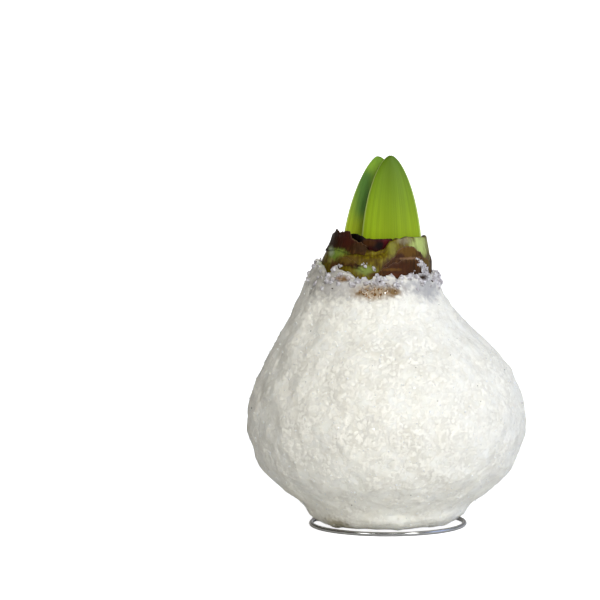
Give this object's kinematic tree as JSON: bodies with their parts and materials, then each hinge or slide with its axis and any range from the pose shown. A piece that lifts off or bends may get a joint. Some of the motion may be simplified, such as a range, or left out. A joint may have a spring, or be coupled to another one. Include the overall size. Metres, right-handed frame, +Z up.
{
  "type": "waxed amaryllis bulb",
  "caption": "Amaryllis bulb dipped in a white, snow-like wax coat, with a torn brown neck and blunt young leaves, standing on a wire ring.",
  "frame": {"origin": "on the ground, under the middle of the bulb", "axes": "+Z up through the bulb's middle to the leaf tips; -Y is the front, the side of the leaf that stands before the other; +X is to the right"},
  "size_m": [0.1011, 0.1014, 0.1339],
  "materials": {
    "bright_wire": "gloss",
    "bulb_flesh": "satin",
    "white_wax": "satin",
    "dry_scale": "matte",
    "red_scale": "satin",
    "leaf": "satin"
  },
  "bodies": {
    "root": {"wire_stand": "bright_wire", "bulb": "bulb_flesh", "wax_coat": "white_wax", "dry_scale_left": "dry_scale", "dry_scale_right": "dry_scale", "dry_scale_back": "dry_scale", "inner_scale_front": "red_scale", "inner_scale_back": "red_scale", "leaf_front": "leaf", "leaf_back": "leaf"}
  },
  "joints": []
}
